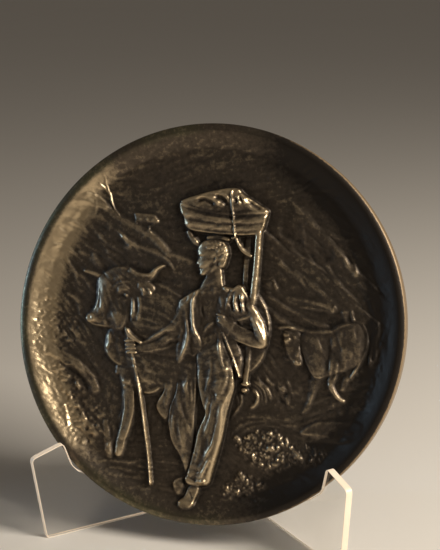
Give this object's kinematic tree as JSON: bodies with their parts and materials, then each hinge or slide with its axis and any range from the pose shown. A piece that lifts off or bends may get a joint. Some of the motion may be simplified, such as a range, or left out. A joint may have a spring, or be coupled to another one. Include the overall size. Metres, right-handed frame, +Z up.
{
  "type": "relief plaque",
  "caption": "Round dished bronze relief plaque of a herder with a loaded carrying frame, standing in a clear V-shaped display stand.",
  "frame": {"origin": "middle of the base of the whole object, on the surface that it stands on", "axes": "+Z up, the relief looks towards -Y and leans back, +X to the right of someone facing it"},
  "size_m": [0.18, 0.0728, 0.1836],
  "materials": {
    "bronze": "dark brown patina with worn golden edges",
    "clear_acrylic": "clear polished sheet with warm cut edges"
  },
  "bodies": {
    "root": {"relief_plaque": "bronze", "display_stand": "clear_acrylic"}
  },
  "joints": []
}
